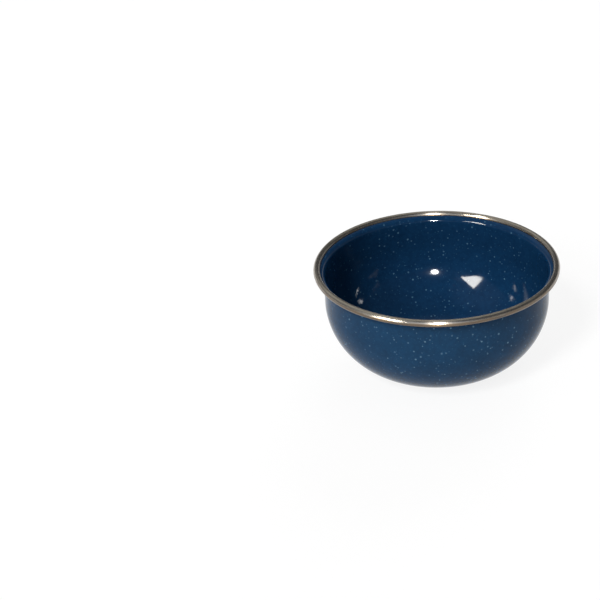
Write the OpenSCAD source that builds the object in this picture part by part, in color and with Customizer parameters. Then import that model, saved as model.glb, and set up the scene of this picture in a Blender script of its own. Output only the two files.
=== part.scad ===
// Enamelled steel bowl with a stainless rim band.
// The origin is on the table under the middle of the foot, and +Z is up.

/* [Bowl] */
// Diameter across the rim band
rim_d = 160; // [110:1:260]
// Height from the table to the top of the rim band
bowl_h = 72; // [60:0.5:120]
// Radius of the round side, outside, from the foot up to the straight wall
side_r = 48; // [30:0.5:56]

/* [Lip] */
// Radius of the bend between the wall and the lip, on its hollow side
lip_bend = 3.2; // [1.5:0.1:8]
// Slope of the lip above the level, in degrees
lip_rise = 18; // [0:1:45]
// Flat run of the lip between the bend and the rim band
lip_flat = 0.2; // [0.1:0.1:4]

/* [Wall] */
// Thickness of the pressed steel
steel_t = 0.5; // [0.3:0.05:1.2]
// Thickness of the ground coat on each face of the steel
ground_t = 0.1; // [0.05:0.01:0.2]
// Thickness of the cover coat on each face
cover_t = 0.15; // [0.05:0.01:0.3]

/* [Rim band] */
// Diameter of the rolled band, across its own section
band_d = 4.4; // [3.2:0.1:8]
// Thickness of the band's strip
band_t = 0.4; // [0.2:0.05:0.6]
// Clearance between the lip's edge and the inside of the band
edge_gap = 0.15; // [0.05:0.05:0.5]

/* [Hidden] */
$fn = 128;

// Straight steps in the section's two round stretches
side_steps = 32;
bend_steps = 12;

// Depths below the outside face at which one layer of the wall ends and the next begins
outer_ground = cover_t;
steel_out = outer_ground + ground_t;
steel_in = steel_out + steel_t;
inner_cover = steel_in + ground_t;
wall_t = inner_cover + cover_t;

// Middle of the band's section
band_r = band_d / 2;
band_x = rim_d / 2 - band_r;
band_z = bowl_h - band_r;

// The lip turns out from the wall and runs straight through the middle of the band
lip_turn = 90 - lip_rise;
bend_mid = lip_bend + wall_t / 2;
lip_run = lip_flat + band_r;
lip_len = lip_run + band_r - band_t - edge_gap;
wall_r = band_x + wall_t / 2 - bend_mid * (1 - cos(lip_turn)) - lip_run * sin(lip_turn);
bend_x = wall_r + lip_bend;
bend_z = band_z - bend_mid * sin(lip_turn) - lip_run * cos(lip_turn);
foot_r = wall_r - side_r;

// Lengths of lip at which the ground coat and the steel end, one coat inside the other
ground_len = lip_len - cover_t;
steel_len = ground_len - ground_t;

// Points of an arc from one angle to another
function arc(middle, radius, from, to, steps) = [
    for (i = [0:steps])
        let (a = from + (to - from) * i / steps)
            middle + radius * [cos(a), sin(a)]
];

// Point on the lip at a depth below its outside face and a length past the bend
function lip_point(depth, length) =
    [bend_x, bend_z]
    + (lip_bend + depth) * [-sin(lip_rise), cos(lip_rise)]
    + length * [cos(lip_rise), sin(lip_rise)];

// Section line at a depth below the outside face, from the axis out along the foot and up to the lip
function face_line(depth, length) = concat(
    [[0, depth]],
    arc([foot_r, side_r], side_r - depth, 270, 360, side_steps),
    arc([bend_x, bend_z], lip_bend + depth, 180, 180 - lip_turn, bend_steps),
    [lip_point(depth, length)]
);

function reverse(points) = [for (i = [len(points) - 1:-1:0]) points[i]];

// Pressed steel bowl with its turned-out lip
module steel_shell() {
    color("dimgray") rotate_extrude() polygon(concat(
        face_line(steel_out, steel_len),
        reverse(face_line(steel_in, steel_len))
    ));
}

// Dark ground coat that wraps the steel, inside, outside and round its edge
module ground_coat() {
    color("midnightblue") rotate_extrude() polygon(concat(
        face_line(outer_ground, ground_len),
        reverse(face_line(inner_cover, ground_len)),
        face_line(steel_in, steel_len),
        reverse(face_line(steel_out, steel_len))
    ));
}

// Speckled cover coat inside the bowl
module inner_enamel() {
    color("steelblue") rotate_extrude() polygon(concat(
        face_line(inner_cover, lip_len),
        reverse(face_line(wall_t, lip_len))
    ));
}

// Speckled cover coat outside the bowl, which also closes the lip's edge
module outer_enamel() {
    color("steelblue") rotate_extrude() polygon(concat(
        face_line(0, lip_len),
        [lip_point(inner_cover, lip_len), lip_point(inner_cover, ground_len)],
        reverse(face_line(outer_ground, ground_len))
    ));
}

// Stainless strip rolled round the lip's edge, gripping it on both faces
module rim_band() {
    color("silver") rotate_extrude() translate([band_x, band_z]) difference() {
        circle(band_r);
        circle(band_r - band_t);
        rotate(lip_rise) translate([-band_d, -wall_t / 2]) square([band_d, wall_t]);
    }
}

steel_shell();
ground_coat();
inner_enamel();
outer_enamel();
rim_band();
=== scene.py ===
"""Looks of a speckled blue enamel basin bowl with a stainless rim band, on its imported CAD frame."""

import math

import bpy
from mathutils import Matrix, Vector


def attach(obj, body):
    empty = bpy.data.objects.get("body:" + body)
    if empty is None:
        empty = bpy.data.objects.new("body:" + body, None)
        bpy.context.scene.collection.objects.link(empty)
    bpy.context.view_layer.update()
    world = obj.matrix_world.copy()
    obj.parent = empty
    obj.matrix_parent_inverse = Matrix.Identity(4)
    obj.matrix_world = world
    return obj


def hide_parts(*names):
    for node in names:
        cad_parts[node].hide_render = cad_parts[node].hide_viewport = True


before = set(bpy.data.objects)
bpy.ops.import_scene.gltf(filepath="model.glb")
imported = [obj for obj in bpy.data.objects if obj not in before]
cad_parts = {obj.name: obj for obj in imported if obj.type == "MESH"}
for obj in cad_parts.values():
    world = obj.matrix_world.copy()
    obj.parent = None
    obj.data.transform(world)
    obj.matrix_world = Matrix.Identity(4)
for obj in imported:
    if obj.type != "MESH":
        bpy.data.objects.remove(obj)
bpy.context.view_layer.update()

# Bowl sizes, the same as in the part's source, in metres
MM = 0.001
RIM_D = 160 * MM
BOWL_H = 72 * MM
SIDE_R = 48 * MM
LIP_BEND = 3.2 * MM
LIP_RISE = math.radians(18)
LIP_FLAT = 0.2 * MM
STEEL_T = 0.5 * MM
GROUND_T = 0.1 * MM
COVER_T = 0.15 * MM
BAND_D = 4.4 * MM
BAND_T = 0.4 * MM
EDGE_GAP = 0.15 * MM

# Depths of the layers below the outside face
OUTER_GROUND = COVER_T
STEEL_IN = OUTER_GROUND + GROUND_T + STEEL_T
INNER_COVER = STEEL_IN + GROUND_T
WALL_T = INNER_COVER + COVER_T

# Places on the bowl's section, as radius from the axis and height
BAND_R = BAND_D / 2
BAND_X = RIM_D / 2 - BAND_R
BAND_Z = BOWL_H - BAND_R
LIP_TURN = math.pi / 2 - LIP_RISE
BEND_MID = LIP_BEND + WALL_T / 2
LIP_RUN = LIP_FLAT + BAND_R
LIP_LEN = LIP_RUN + BAND_R - BAND_T - EDGE_GAP
COVER_LEN = LIP_LEN - COVER_T
WALL_R = BAND_X + WALL_T / 2 - BEND_MID * (1 - math.cos(LIP_TURN)) - LIP_RUN * math.sin(LIP_TURN)
BEND_X = WALL_R + LIP_BEND
BEND_Z = BAND_Z - BEND_MID * math.sin(LIP_TURN) - LIP_RUN * math.cos(LIP_TURN)
FOOT_R = WALL_R - SIDE_R

# How finely the bowl is turned
TURN_STEPS = 256
SIDE_STEPS = 48
BEND_STEPS = 16
FOOT_STEPS = 8
WALL_STEPS = 4
BAND_STEPS = 56
JAW_ROUND = 0.09 * MM
JAW_ROUND_STEPS = 3
CREASE_ANGLE = math.radians(40)
SAME_POINT = 0.001 * MM

# Ends between which most of a noise lies
USUAL_SPREAD = (0.3, 0.7)
HIGH_SPREAD = (0.35, 0.7)
TIGHT_SPREAD = (0.35, 0.65)

# Enamel on each face: two blues of the ground, two of the flecks, and how strongly it mirrors
OUTSIDE_BLUE = {
    "deep": (0.0075, 0.0295, 0.067, 1),
    "light": (0.0085, 0.040, 0.092, 1),
    "fleck_pale": (0.14, 0.255, 0.35, 1),
    "fleck_blue": (0.033, 0.10, 0.18, 1),
    "shine": 0.06,
}
# The inside blues and flecks are darker than the outside ones: painted shade of the bowl's hollow.
INSIDE_BLUE_PAINTED_SHADE = {
    "deep": (0.0032, 0.0207, 0.0585, 1),
    "light": (0.0048, 0.031, 0.083, 1),
    "fleck_pale": (0.09, 0.20, 0.30, 1),
    "fleck_blue": (0.024, 0.088, 0.17, 1),
    "shine": 0.17,
}
DEPTH_PATCH = 14 * MM
GRAIN_PATCH = 2.4 * MM
CLOUD_SHARE = (0.0, 0.5)
GLOSS_PATCH = 9 * MM
ENAMEL_ROUGHNESS = (0.055, 0.095)
WAVE_PATCH = 7 * MM
WAVE_RISE = 0.011 * MM

# Frit flecks: cells that each hold one at most, and its least and greatest radius
LARGE_FLECKS = {"cell": 3.2 * MM, "least": 0.45 * MM, "greatest": 0.95 * MM}
SMALL_FLECKS = {"cell": 1.9 * MM, "least": 0.28 * MM, "greatest": 0.55 * MM}
FLECK_STRAY = {"size": 1.5 * MM, "reach": 0.26 * MM}
FILLED_CELLS = 0.8
FLECK_CORE = 0.2
FLECK_STRENGTH = (0.3, 1.0)
FLECK_COVER = 0.7
FLECK_RISE = 0.0025 * MM

# Band: two bright colours for its upper part and two darker straw-brown ones painted on its lower half as a
# dark reflection, each pair mixed by patchy tarnish; where the painted reflection fades in and wanders;
# rolling lines, dents and gloss
BAND_BRIGHT = ((0.47, 0.43, 0.37, 1), (0.39, 0.345, 0.28, 1))
BAND_PAINTED_DARK_REFLECTION = ((0.15, 0.10, 0.052, 1), (0.078, 0.053, 0.032, 1))
TARNISH_PATCH = 9 * MM
DARK_REFLECTION_FADE = (0.2 * MM, 1.7 * MM)
DARK_REFLECTION_STRAY = (-0.5 * MM, 0.5 * MM)
LOW_SIDE_ROUGHNESS = 0.06
ROLL_LINE = 0.12 * MM
ROLL_STRAY = {"size": 0.4 * MM, "reach": 0.03 * MM}
ROLL_RISE = 0.0006 * MM
DENT_PATCH = 16 * MM
DENT_RISE = 0.025 * MM
BAND_ROUGHNESS = (0.19, 0.27)
GLOSS_STRETCH = 0.92
QUARTER_TURN = 0.25
FILM_ROUGHNESS = 0.5
FILM_IOR = 1.45

# Hidden layers: two shades of each, its grain and its gloss
STEEL_GREYS = ((0.30, 0.30, 0.31, 1), (0.42, 0.41, 0.40, 1))
STEEL_GRAIN = 3 * MM
STEEL_DRAWN = (8.0, 1.0, 1.0)
STEEL_ROUGHNESS = (0.32, 0.48)
GROUND_BLACKS = ((0.008, 0.010, 0.016, 1), (0.02, 0.024, 0.034, 1))
GROUND_PIT = 0.8 * MM
GROUND_PIT_DEPTH = 0.02 * MM
GROUND_ROUGHNESS = (0.25, 0.4)

# Sockets of a colour mix, which share their names with those of other kinds
MIX_SHARE = 0
MIX_FIRST = 6
MIX_SECOND = 7
MIX_RESULT = 2

# Floor and room
FLOOR_SIZE = 60.0
FLOOR_GLOW = 0.86
FLOOR_PALE = (0.95, 0.95, 0.95, 1)
WHITE = (1, 1, 1, 1)
ROOM_GREY = (0.06, 0.06, 0.063, 1)
HORIZON_PALE = (0.95, 0.95, 0.95, 1)
HORIZON_TOP = 14

# Pale parts of the room: colour, azimuth and elevation of the middle, and reach, with angles in degrees
PALE_PATCHES = (
    ((0.36, 0.35, 0.33, 1), (-62, 42), 34),
    ((0.50, 0.50, 0.475, 1), (-138, 44), 34),
    ((0.58, 0.58, 0.55, 1), (178, 58), 30),
)

# Soft lamps that the gloss doesn't show: name, azimuth, elevation, strength and width, with angles in degrees
SOFT_LAMPS = (
    ("soft_key", -30, 29, 1.4, 16),
    ("high_key", -26, 45, 1.8, 12),
    ("back_fill", 165, 20, 1.8, 40),
    ("overhead_fill", 0, 85, 0.2, 60),
    ("right_fill", 78, 52, 0.25, 40),
)
SOFT_LAMP_DISTANCE = 2.0

# Flash by the camera
FLASH_AZIMUTH = 1.5
FLASH_ELEVATION = 21
FLASH_DISTANCE = 0.85
FLASH_POWER = 15.0
FLASH_WIDTH = 0.094

# Corners of the window seen from the bowl, as azimuth and elevation in degrees
WINDOW_CORNERS = ((-54.6, 13.2), (-28.8, 26.1), (-50.6, 38.6))
WINDOW_DISTANCE = 1.5
WINDOW_GLOW = 55.0
WINDOW_CREAM = (1, 0.98, 0.92, 1)

# The photograph's viewpoint, found by fitting the rim and the sides
CAMERA_PLACE = (0, -0.89036, 0.52726)
CAMERA_YAW = math.radians(5.791)
CAMERA_PITCH = math.radians(28.309)
CAMERA_ROLL = math.radians(-3.532)
SENSOR_WIDTH = 36
LENS = 91.69


class SectionPen:
    """Draws a piece's section in the plane y = 0 with extrude and spin, then turns it round the axis."""

    def __init__(self, name, radius, height):
        bpy.ops.object.select_all(action="DESELECT")
        bpy.ops.mesh.primitive_plane_add(size=MM)
        self.piece = bpy.context.object
        self.piece.name = name
        self.piece.data.name = name
        bpy.ops.object.mode_set(mode="EDIT")
        bpy.ops.mesh.select_mode(type="VERT")
        bpy.ops.mesh.select_all(action="SELECT")
        bpy.ops.mesh.merge(type="CENTER")
        bpy.ops.transform.translate(value=(radius, 0, height))
        self.radius = radius
        self.height = height

    def line(self, radius, height, steps=1):
        """Extrudes the last point in a straight line."""
        step = ((radius - self.radius) / steps, 0, (height - self.height) / steps)
        for _ in range(steps):
            bpy.ops.mesh.extrude_vertices_move(TRANSFORM_OT_translate={"value": step})
        self.radius = radius
        self.height = height

    def arc(self, radius, height, turn, steps):
        """Spins the last point about a centre. A positive turn is counter-clockwise."""
        bpy.ops.mesh.spin(steps=steps, dupli=False, angle=turn, center=(radius, 0, height), axis=(0, 1, 0))
        out = self.radius - radius
        up = self.height - height
        self.radius = radius + out * math.cos(turn) - up * math.sin(turn)
        self.height = height + out * math.sin(turn) + up * math.cos(turn)

    def turn(self):
        """Turns the section round the axis and closes its seam and poles."""
        bpy.ops.mesh.select_all(action="SELECT")
        bpy.ops.mesh.remove_doubles(threshold=SAME_POINT)
        bpy.ops.mesh.select_all(action="SELECT")
        bpy.ops.mesh.spin(steps=TURN_STEPS, dupli=False, angle=math.tau, center=(0, 0, 0), axis=(0, 0, 1))
        bpy.ops.mesh.select_all(action="SELECT")
        bpy.ops.mesh.remove_doubles(threshold=SAME_POINT)
        bpy.ops.mesh.normals_make_consistent(inside=False)
        bpy.ops.object.mode_set(mode="OBJECT")
        bpy.ops.object.shade_smooth_by_angle(angle=CREASE_ANGLE)
        return self.piece


def lip_point(depth, length):
    """Point on the lip, this deep below the outside face and this far along it."""
    reach = LIP_BEND + depth
    radius = BEND_X - reach * math.sin(LIP_RISE) + length * math.cos(LIP_RISE)
    height = BEND_Z + reach * math.cos(LIP_RISE) + length * math.sin(LIP_RISE)
    return radius, height


def draw_up(pen, depth, length):
    """Draws one face from the axis out over the foot, up the side and out along the lip."""
    pen.line(FOOT_R, depth, FOOT_STEPS)
    pen.arc(FOOT_R, SIDE_R, math.pi / 2, SIDE_STEPS)
    pen.line(WALL_R - depth, BEND_Z, WALL_STEPS)
    pen.arc(BEND_X, BEND_Z, -LIP_TURN, BEND_STEPS)
    pen.line(*lip_point(depth, length))


def draw_down(pen, depth):
    """Draws one face back from the lip, down the side and in over the foot to the axis."""
    pen.line(*lip_point(depth, 0))
    pen.arc(BEND_X, BEND_Z, LIP_TURN, BEND_STEPS)
    pen.line(WALL_R - depth, SIDE_R, WALL_STEPS)
    pen.arc(FOOT_R, SIDE_R, -math.pi / 2, SIDE_STEPS)
    pen.line(0, depth, FOOT_STEPS)


def model_outside_coat():
    """The blue coat on the outside, which also wraps the cut edge of the lip under the band."""
    pen = SectionPen("outside_coat", 0, 0)
    draw_up(pen, 0, LIP_LEN)
    pen.line(*lip_point(INNER_COVER, LIP_LEN))
    pen.line(*lip_point(INNER_COVER, COVER_LEN))
    pen.line(*lip_point(OUTER_GROUND, COVER_LEN))
    draw_down(pen, OUTER_GROUND)
    return pen.turn()


def model_inside_coat():
    """The blue coat on the inside, from the middle of the foot to the end of the lip."""
    pen = SectionPen("inside_coat", 0, WALL_T)
    draw_up(pen, WALL_T, LIP_LEN)
    pen.line(*lip_point(INNER_COVER, LIP_LEN))
    draw_down(pen, INNER_COVER)
    return pen.turn()


def band_point(radius, angle):
    """Point on a circle round the middle of the band's section."""
    return BAND_X + radius * math.cos(angle), BAND_Z + radius * math.sin(angle)


def model_rim_band():
    """The rolled stainless band: a tube with a slot whose two jaws grip the lip."""
    hollow_r = BAND_R - BAND_T
    slot_way = math.pi + LIP_RISE
    outer_half = math.asin(WALL_T / 2 / BAND_R)
    inner_half = math.asin(WALL_T / 2 / hollow_r)
    corners = [
        band_point(BAND_R, slot_way + outer_half),
        band_point(BAND_R, slot_way - outer_half),
        band_point(hollow_r, slot_way - inner_half),
        band_point(hollow_r, slot_way + inner_half),
    ]
    pen = SectionPen("rim_band_rolled", *corners[0])
    pen.arc(BAND_X, BAND_Z, math.tau - 2 * outer_half, BAND_STEPS)
    pen.line(*corners[2])
    pen.arc(BAND_X, BAND_Z, 2 * inner_half - math.tau, BAND_STEPS)
    pen.line(*corners[0])
    band = pen.turn()
    round_jaws(band, corners)
    return band


def round_jaws(band, corners):
    """Rounds the four long edges of the jaws."""
    for part in (band.data.vertices, band.data.edges, band.data.polygons):
        part.foreach_set("select", [False] * len(part))
    for vertex in band.data.vertices:
        radius = math.hypot(vertex.co.x, vertex.co.y)
        gaps = [math.hypot(radius - r, vertex.co.z - z) for r, z in corners]
        vertex.select = min(gaps) < SAME_POINT
    for edge in band.data.edges:
        ends = [band.data.vertices[i] for i in edge.vertices]
        level = abs(ends[0].co.z - ends[1].co.z) < SAME_POINT
        edge.select = level and ends[0].select and ends[1].select
    bpy.ops.object.mode_set(mode="EDIT")
    bpy.ops.mesh.select_mode(type="EDGE")
    bpy.ops.mesh.bevel(offset=JAW_ROUND, segments=JAW_ROUND_STEPS, affect="EDGES")
    bpy.ops.mesh.select_mode(type="VERT")
    bpy.ops.mesh.select_all(action="SELECT")
    bpy.ops.mesh.normals_make_consistent(inside=False)
    bpy.ops.object.mode_set(mode="OBJECT")
    bpy.ops.object.shade_smooth_by_angle(angle=CREASE_ANGLE)


def new_material(name):
    """An empty node material and its tree, with the Principled shader ready."""
    material = bpy.data.materials.new(name)
    material.use_nodes = True
    tree = material.node_tree
    return material, tree, tree.nodes["Principled BSDF"]


def feed(tree, node, inputs):
    """Gives each named input of a node a value or a link."""
    for socket, value in inputs.items():
        if isinstance(value, bpy.types.NodeSocket):
            tree.links.new(value, node.inputs[socket])
        else:
            node.inputs[socket].default_value = value


def put(tree, kind, inputs=(), **options):
    """Adds a node, sets its options and feeds its inputs."""
    node = tree.nodes.new(kind)
    for option, value in options.items():
        setattr(node, option, value)
    feed(tree, node, dict(inputs))
    return node


def object_place(tree):
    """Where a point lies on its piece."""
    return put(tree, "ShaderNodeTexCoord").outputs["Object"]


def maths(tree, operation, first, second=0.0):
    """One sum on two values."""
    return put(tree, "ShaderNodeMath", {0: first, 1: second}, operation=operation).outputs[0]


def joined(tree, first, second):
    """Two values as the x and y of one vector."""
    return put(tree, "ShaderNodeCombineXYZ", {"X": first, "Y": second}).outputs[0]


def ranged(tree, value, spread, result, smooth=False):
    """Turns a value that lies in one range into one that lies in another."""
    inputs = {
        "Value": value,
        "From Min": spread[0],
        "From Max": spread[1],
        "To Min": result[0],
        "To Max": result[1],
    }
    kind = "SMOOTHSTEP" if smooth else "LINEAR"
    return put(tree, "ShaderNodeMapRange", inputs, interpolation_type=kind).outputs["Result"]


def mixed(tree, share, first, second):
    """Blends two colours."""
    inputs = {MIX_SHARE: share, MIX_FIRST: first, MIX_SECOND: second}
    return put(tree, "ShaderNodeMix", inputs, data_type="RGBA").outputs[MIX_RESULT]


def bumped(tree, height, distance=1.0):
    """The normal of a skin with this height."""
    inputs = {"Strength": 1.0, "Distance": distance, "Height": height}
    return put(tree, "ShaderNodeBump", inputs).outputs["Normal"]


def clouds(tree, place, size, detail=2.0):
    """Soft noise whose patches are about this size."""
    inputs = {"Vector": place, "Scale": 1 / size, "Detail": detail}
    return put(tree, "ShaderNodeTexNoise", inputs).outputs["Fac"]


def frit_flecks(tree, place, cell, least, greatest):
    """How much pale frit shows. Each fleck has its own size and strength, and some cells stay empty."""
    cells = put(tree, "ShaderNodeTexVoronoi", {"Vector": place, "Scale": 1 / cell})
    dice = put(tree, "ShaderNodeSeparateColor", {"Color": cells.outputs["Color"]})
    edge = ranged(tree, dice.outputs[0], (0, 1), (least / cell, greatest / cell))
    core = maths(tree, "MULTIPLY", edge, FLECK_CORE)
    mask = ranged(tree, cells.outputs["Distance"], (core, edge), (1, 0), smooth=True)
    kept = maths(tree, "LESS_THAN", dice.outputs[1], FILLED_CELLS)
    strength = ranged(tree, dice.outputs[2], (0, 1), FLECK_STRENGTH)
    return maths(tree, "MULTIPLY", maths(tree, "MULTIPLY", mask, kept), strength)


def wandering(tree, place, size, reach):
    """The same place, pushed about a little, so that flecks and lines aren't perfect."""
    noise = put(tree, "ShaderNodeTexNoise", {"Vector": place, "Scale": 1 / size, "Detail": 1.0})
    middle = (0.5, 0.5, 0.5)
    push = put(tree, "ShaderNodeVectorMath", {0: noise.outputs["Color"], 1: middle}, operation="SUBTRACT")
    push = put(tree, "ShaderNodeVectorMath", {0: push.outputs[0], "Scale": 2 * reach}, operation="SCALE")
    return put(tree, "ShaderNodeVectorMath", {0: place, 1: push.outputs[0]}, operation="ADD").outputs[0]


def speckled_enamel(name, deep, light, fleck_pale, fleck_blue, shine):
    """Fused glass enamel: deep blue with a cloudy depth, pale frit flecks and a slightly wavy gloss."""
    material, tree, shader = new_material(name)
    place = object_place(tree)
    depth = ranged(tree, clouds(tree, place, DEPTH_PATCH, 3.0), USUAL_SPREAD, CLOUD_SHARE)
    grain = ranged(tree, clouds(tree, place, GRAIN_PATCH), HIGH_SPREAD, CLOUD_SHARE)
    ground = mixed(tree, maths(tree, "ADD", depth, grain), deep, light)
    loose = wandering(tree, place, **FLECK_STRAY)
    large = frit_flecks(tree, loose, **LARGE_FLECKS)
    small = frit_flecks(tree, loose, **SMALL_FLECKS)
    colour = mixed(tree, maths(tree, "MULTIPLY", small, FLECK_COVER), ground, fleck_blue)
    colour = mixed(tree, maths(tree, "MULTIPLY", large, FLECK_COVER), colour, fleck_pale)
    wave = maths(tree, "MULTIPLY", clouds(tree, place, WAVE_PATCH, 1.0), WAVE_RISE)
    frit = maths(tree, "MULTIPLY", large, FLECK_RISE)
    feed(tree, shader, {
        "Base Color": colour,
        "Roughness": ranged(tree, clouds(tree, place, GLOSS_PATCH, 3.0), USUAL_SPREAD, ENAMEL_ROUGHNESS),
        "Normal": bumped(tree, maths(tree, "ADD", wave, frit)),
        "Specular IOR Level": shine,
    })
    return material


def rolled_stainless(name):
    """Polished stainless strip with fine rolling lines, bright on top and darker straw-brown below, where a
    dark reflection is painted in.
    """
    material, tree, shader = new_material(name)
    place = object_place(tree)
    axes = put(tree, "ShaderNodeSeparateXYZ", {"Vector": place})
    x, y, z = (axes.outputs[axis] for axis in "XYZ")
    flat = joined(tree, x, y)
    radius = put(tree, "ShaderNodeVectorMath", {0: flat}, operation="LENGTH").outputs["Value"]
    along = joined(tree, maths(tree, "MULTIPLY", y, -1.0), x)
    along = put(tree, "ShaderNodeVectorMath", {0: along}, operation="NORMALIZE").outputs[0]
    drift = wandering(tree, joined(tree, radius, z), **ROLL_STRAY)
    lines = clouds(tree, drift, ROLL_LINE, 3.0)
    tarnish = clouds(tree, place, TARNISH_PATCH, 4.0)
    dents = clouds(tree, place, DENT_PATCH, 1.0)
    tint = ranged(tree, tarnish, HIGH_SPREAD, (0, 1))
    # Below the band's middle the colour turns to the darker pair: a painted dark reflection on the lower
    # half.
    level = maths(tree, "SUBTRACT", z, BAND_Z)
    level = maths(tree, "ADD", level, ranged(tree, tarnish, USUAL_SPREAD, DARK_REFLECTION_STRAY))
    under = ranged(tree, level, DARK_REFLECTION_FADE, (1, 0), smooth=True)
    bright = mixed(tree, tint, *BAND_BRIGHT)
    dark_reflection = mixed(tree, tint, *BAND_PAINTED_DARK_REFLECTION)
    rough = ranged(tree, lines, USUAL_SPREAD, BAND_ROUGHNESS)
    rough = maths(tree, "ADD", rough, maths(tree, "MULTIPLY", under, LOW_SIDE_ROUGHNESS))
    rolled = maths(tree, "MULTIPLY", lines, ROLL_RISE)
    dented = maths(tree, "MULTIPLY", dents, DENT_RISE)
    feed(tree, shader, {
        "Base Color": mixed(tree, under, bright, dark_reflection),
        "Metallic": 1.0,
        "Roughness": rough,
        "Normal": bumped(tree, maths(tree, "ADD", rolled, dented)),
        "Tangent": along,
        "Anisotropic": GLOSS_STRETCH,
        "Anisotropic Rotation": QUARTER_TURN,
        "Coat Weight": 1.0,
        "Coat Roughness": FILM_ROUGHNESS,
        "Coat IOR": FILM_IOR,
    })
    return material


def pressed_steel(name):
    """The bare steel core under the enamel: grey, with the grain of the sheet."""
    material, tree, shader = new_material(name)
    drawn = put(tree, "ShaderNodeMapping", {"Vector": object_place(tree), "Scale": STEEL_DRAWN}).outputs[0]
    grain = clouds(tree, drawn, STEEL_GRAIN, 4.0)
    feed(tree, shader, {
        "Base Color": mixed(tree, ranged(tree, grain, USUAL_SPREAD, (0, 1)), *STEEL_GREYS),
        "Metallic": 1.0,
        "Roughness": ranged(tree, grain, USUAL_SPREAD, STEEL_ROUGHNESS),
    })
    return material


def ground_enamel(name):
    """The dark ground coat fired between the steel and the blue: near black, with fine pits."""
    material, tree, shader = new_material(name)
    pits = clouds(tree, object_place(tree), GROUND_PIT, 3.0)
    feed(tree, shader, {
        "Base Color": mixed(tree, ranged(tree, pits, TIGHT_SPREAD, (0, 1)), *GROUND_BLACKS),
        "Roughness": ranged(tree, pits, USUAL_SPREAD, GROUND_ROUGHNESS),
        "Normal": bumped(tree, pits, GROUND_PIT_DEPTH),
    })
    return material


def wear(piece, material):
    """Gives a piece this one material."""
    piece.data.materials.clear()
    piece.data.materials.append(material)


def toward(azimuth, elevation):
    """Unit vector from the bowl. Azimuth 0 is towards the camera, and positive is to its right."""
    a = math.radians(azimuth)
    e = math.radians(elevation)
    return Vector((math.sin(a) * math.cos(e), -math.cos(a) * math.cos(e), math.sin(e)))


def glowing(name):
    """A node material without the Principled shader, its tree and the socket that shows."""
    material, tree, shader = new_material(name)
    tree.nodes.remove(shader)
    return material, tree, tree.nodes["Material Output"].inputs["Surface"]


def lay_floor():
    """A pale floor that the camera and the gloss see as white, with the bowl's shadow kept on it."""
    bpy.ops.object.select_all(action="DESELECT")
    bpy.ops.mesh.primitive_plane_add(size=FLOOR_SIZE)
    floor = bpy.context.object
    floor.name = "studio_floor"
    material, tree, surface = glowing("pale_studio_floor")
    rays = put(tree, "ShaderNodeLightPath")
    seen = maths(tree, "MAXIMUM", rays.outputs["Is Camera Ray"], rays.outputs["Is Glossy Ray"])
    seen = maths(tree, "MAXIMUM", seen, rays.outputs["Is Transmission Ray"])
    matt = put(tree, "ShaderNodeBsdfDiffuse", {"Color": FLOOR_PALE})
    glow = put(tree, "ShaderNodeEmission", {"Color": WHITE, "Strength": 1.0})
    share = maths(tree, "MULTIPLY", seen, FLOOR_GLOW)
    both = put(tree, "ShaderNodeMixShader", {0: share, 1: matt.outputs[0], 2: glow.outputs[0]})
    tree.links.new(both.outputs[0], surface)
    wear(floor, material)


def light_room():
    """A grey room, white where it meets the floor, with pale haze round the window and behind the bowl."""
    world = bpy.data.worlds.new("dim_grey_room")
    bpy.context.scene.world = world
    world.use_nodes = True
    tree = world.node_tree
    way = put(tree, "ShaderNodeTexCoord").outputs["Generated"]
    room = ROOM_GREY
    for pale, place, reach in PALE_PATCHES:
        facing = put(tree, "ShaderNodeVectorMath", {0: way, 1: toward(*place)}, operation="DOT_PRODUCT")
        edge = math.cos(math.radians(reach))
        share = ranged(tree, facing.outputs["Value"], (edge, 1), (0, 1), smooth=True)
        room = mixed(tree, share, room, pale)
    rise = put(tree, "ShaderNodeSeparateXYZ", {"Vector": way}).outputs["Z"]
    low = ranged(tree, rise, (0, math.sin(math.radians(HORIZON_TOP))), (1, 0), smooth=True)
    tree.links.new(mixed(tree, low, room, HORIZON_PALE), tree.nodes["Background"].inputs["Color"])


def hang_lamp(name, kind, azimuth, elevation, distance, energy):
    """A lamp that points at the middle of the bowl."""
    way = toward(azimuth, elevation)
    middle = Vector((0, 0, BOWL_H / 2))
    bpy.ops.object.light_add(type=kind, location=middle + way * distance)
    lamp = bpy.context.object
    lamp.name = name
    lamp.rotation_euler = (-way).to_track_quat("-Z", "Y").to_euler()
    lamp.data.energy = energy
    return lamp


def hang_lamps():
    """A low and a high key light, fills from behind, above and the right, and a flash by the camera."""
    for name, azimuth, elevation, strength, width in SOFT_LAMPS:
        soft = hang_lamp(name, "SUN", azimuth, elevation, SOFT_LAMP_DISTANCE, strength)
        soft.data.angle = math.radians(width)
        soft.visible_glossy = False

    flash = hang_lamp("camera_flash", "AREA", FLASH_AZIMUTH, FLASH_ELEVATION, FLASH_DISTANCE, FLASH_POWER)
    flash.data.shape = "DISK"
    flash.data.size = FLASH_WIDTH
    flash.visible_camera = False
    flash.visible_diffuse = False


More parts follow.
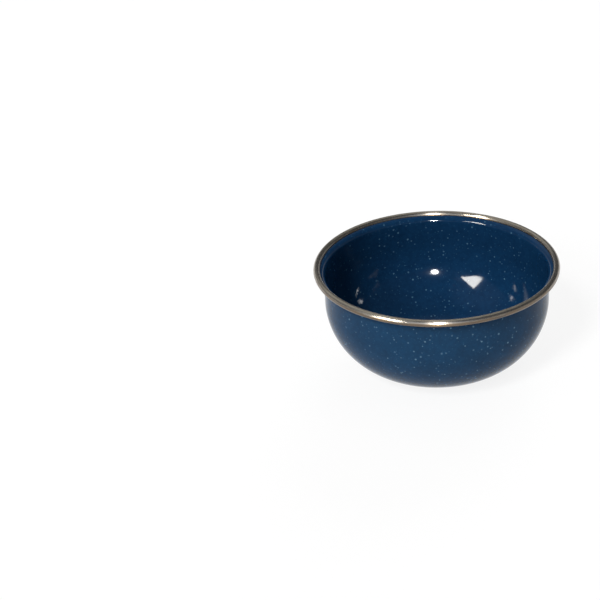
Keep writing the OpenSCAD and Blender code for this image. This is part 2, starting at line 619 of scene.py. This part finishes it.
def hang_window():
    """A bright three-cornered pane that shows only in the gloss, as daylight past a curtain does."""
    bpy.ops.object.select_all(action="DESELECT")
    bpy.ops.mesh.primitive_circle_add(vertices=len(WINDOW_CORNERS), radius=MM, fill_type="NGON")
    pane = bpy.context.object
    pane.name = "window_pane"
    middle = Vector((0, 0, BOWL_H / 2))
    for vertex, corner in zip(pane.data.vertices, WINDOW_CORNERS):
        vertex.co = middle + toward(*corner) * WINDOW_DISTANCE
    material, tree, surface = glowing("window_daylight")
    glow = put(tree, "ShaderNodeEmission", {"Color": WINDOW_CREAM, "Strength": WINDOW_GLOW})
    tree.links.new(glow.outputs[0], surface)
    wear(pane, material)
    pane.visible_camera = False
    pane.visible_diffuse = False
    pane.visible_shadow = False


def set_camera():
    """Sets the camera at the photograph's viewpoint."""
    bpy.ops.object.camera_add()
    camera = bpy.context.object
    camera.name = "photo_camera"
    camera.matrix_world = (
        Matrix.Translation(CAMERA_PLACE)
        @ Matrix.Rotation(CAMERA_YAW, 4, "Z")
        @ Matrix.Rotation(math.pi / 2 - CAMERA_PITCH, 4, "X")
        @ Matrix.Rotation(CAMERA_ROLL, 4, "Z")
    )
    camera.data.sensor_width = SENSOR_WIDTH
    camera.data.lens = LENS
    bpy.context.scene.camera = camera


# Pieces of the bowl
outside_coat = model_outside_coat()
inside_coat = model_inside_coat()
rim_band = model_rim_band()

wear(outside_coat, speckled_enamel("outside_speckled_blue", **OUTSIDE_BLUE))
wear(inside_coat, speckled_enamel("inside_speckled_blue", **INSIDE_BLUE_PAINTED_SHADE))
wear(rim_band, rolled_stainless("rolled_stainless"))
wear(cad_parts["steel_shell"], pressed_steel("pressed_steel_core"))
wear(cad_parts["ground_coat"], ground_enamel("dark_ground_enamel"))

for piece, node, slot in (
    (outside_coat, "outer_enamel", "outside_enamel"),
    (inside_coat, "inner_enamel", "inside_enamel"),
    (rim_band, "rim_band", "stainless"),
):
    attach(piece, "root")
    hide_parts(node)

# Floor, light and camera
lay_floor()
light_room()
hang_lamps()
hang_window()
set_camera()
bpy.context.scene.view_settings.view_transform = "Standard"
